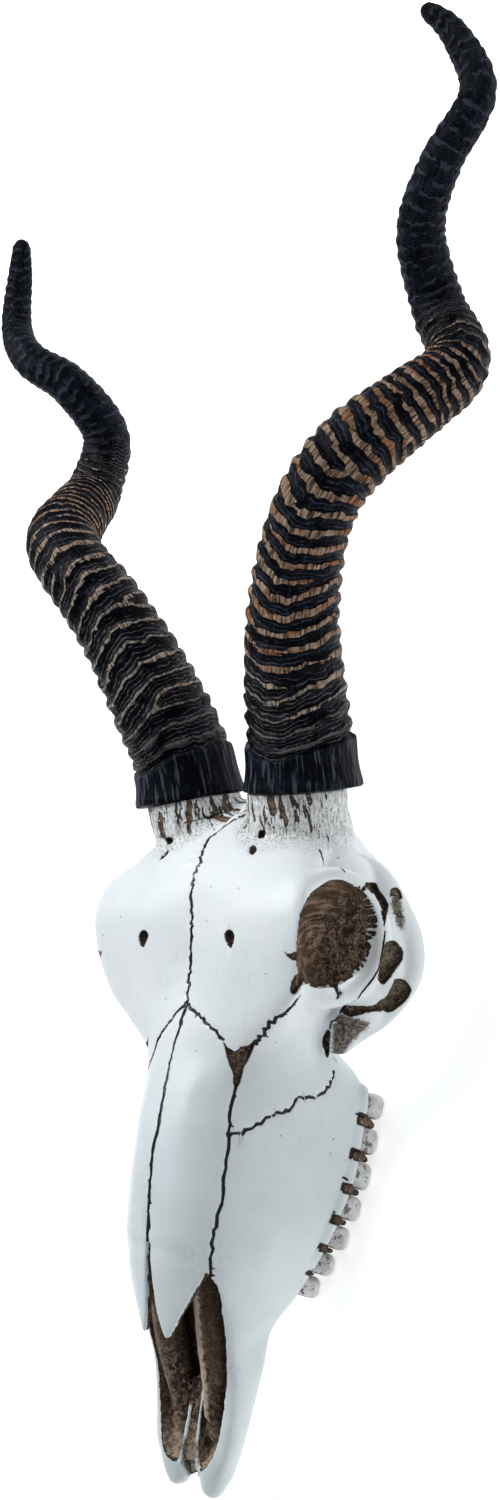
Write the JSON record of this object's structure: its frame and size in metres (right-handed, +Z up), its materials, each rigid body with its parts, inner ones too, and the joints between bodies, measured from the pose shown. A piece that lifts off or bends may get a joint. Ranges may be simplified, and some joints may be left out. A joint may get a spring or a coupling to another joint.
{
  "type": "kudu skull",
  "caption": "Horned antelope skull without lower jaw, with ridged spiral horns, lying palate down on its cheek teeth and the back of its base.",
  "frame": {"origin": "on the plane the skull rests on, under the middle of the object's box", "axes": "+Z up from the resting plane, -Y towards the nose, +Y towards the horn tips, +X to the skull's left; the plane x = 0 is its plane of symmetry"},
  "size_m": [0.4042, 0.7139, 0.2681],
  "materials": {
    "bone": "satin",
    "horn": "satin",
    "enamel": "gloss"
  },
  "bodies": {
    "root": {"skull": "bone", "horn_left": "horn", "horn_right": "horn", "cheek_tooth_left_1": "enamel", "cheek_tooth_left_2": "enamel", "cheek_tooth_left_3": "enamel", "cheek_tooth_left_4": "enamel", "cheek_tooth_left_5": "enamel", "cheek_tooth_left_6": "enamel", "cheek_tooth_left_7": "enamel", "cheek_tooth_right_1": "enamel", "cheek_tooth_right_2": "enamel", "cheek_tooth_right_3": "enamel", "cheek_tooth_right_4": "enamel", "cheek_tooth_right_5": "enamel", "cheek_tooth_right_6": "enamel", "cheek_tooth_right_7": "enamel"}
  },
  "joints": []
}
